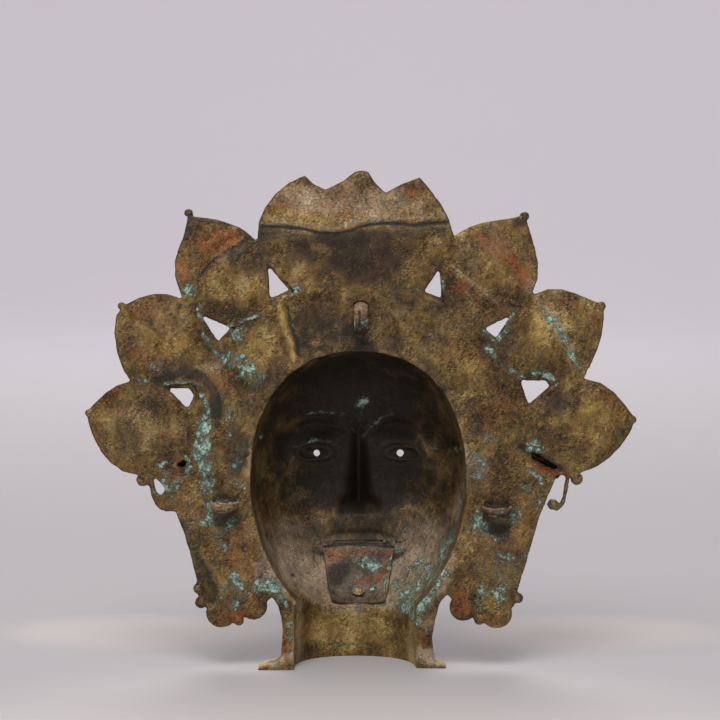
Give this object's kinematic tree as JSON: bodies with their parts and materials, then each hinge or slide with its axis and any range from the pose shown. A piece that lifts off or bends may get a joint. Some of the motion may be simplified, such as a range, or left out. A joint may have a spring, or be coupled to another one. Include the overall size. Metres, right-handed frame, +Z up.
{
  "type": "bhuta mask",
  "caption": "Cast brass mask: petalled halo around a hollow face, side panels with ear curls and drops, flared neck it stands on, cord loops behind, riveted tongue plate.",
  "frame": {"origin": "on the table under the neck's foot, at the middle of the mask's width and depth", "axes": "+Z up, -Y the way the face looks, +Y the way the hollow back looks, +X towards the side that a viewer behind the mask has on the left"},
  "size_m": [0.4229, 0.115, 0.3837],
  "materials": {
    "aged_brass": "old cast brass: olive gold under a dark brown patina, with verdigris patches and coppery spots",
    "aged_copper": "dark copper sheet with a grey brown skin, an orange bare band and a trace of verdigris",
    "rivet_bronze": "hammered rivet head, dark bronze with a rubbed edge",
    "loop_bronze": "rough bronze rod, grey brown with pale worn tops and verdigris at its feet"
  },
  "bodies": {
    "root": {"mask_casting": "aged_brass", "tongue": "aged_copper", "tongue_rivet": "rivet_bronze", "loop_top": "loop_bronze", "loop_left": "loop_bronze", "loop_right": "loop_bronze"}
  },
  "joints": []
}
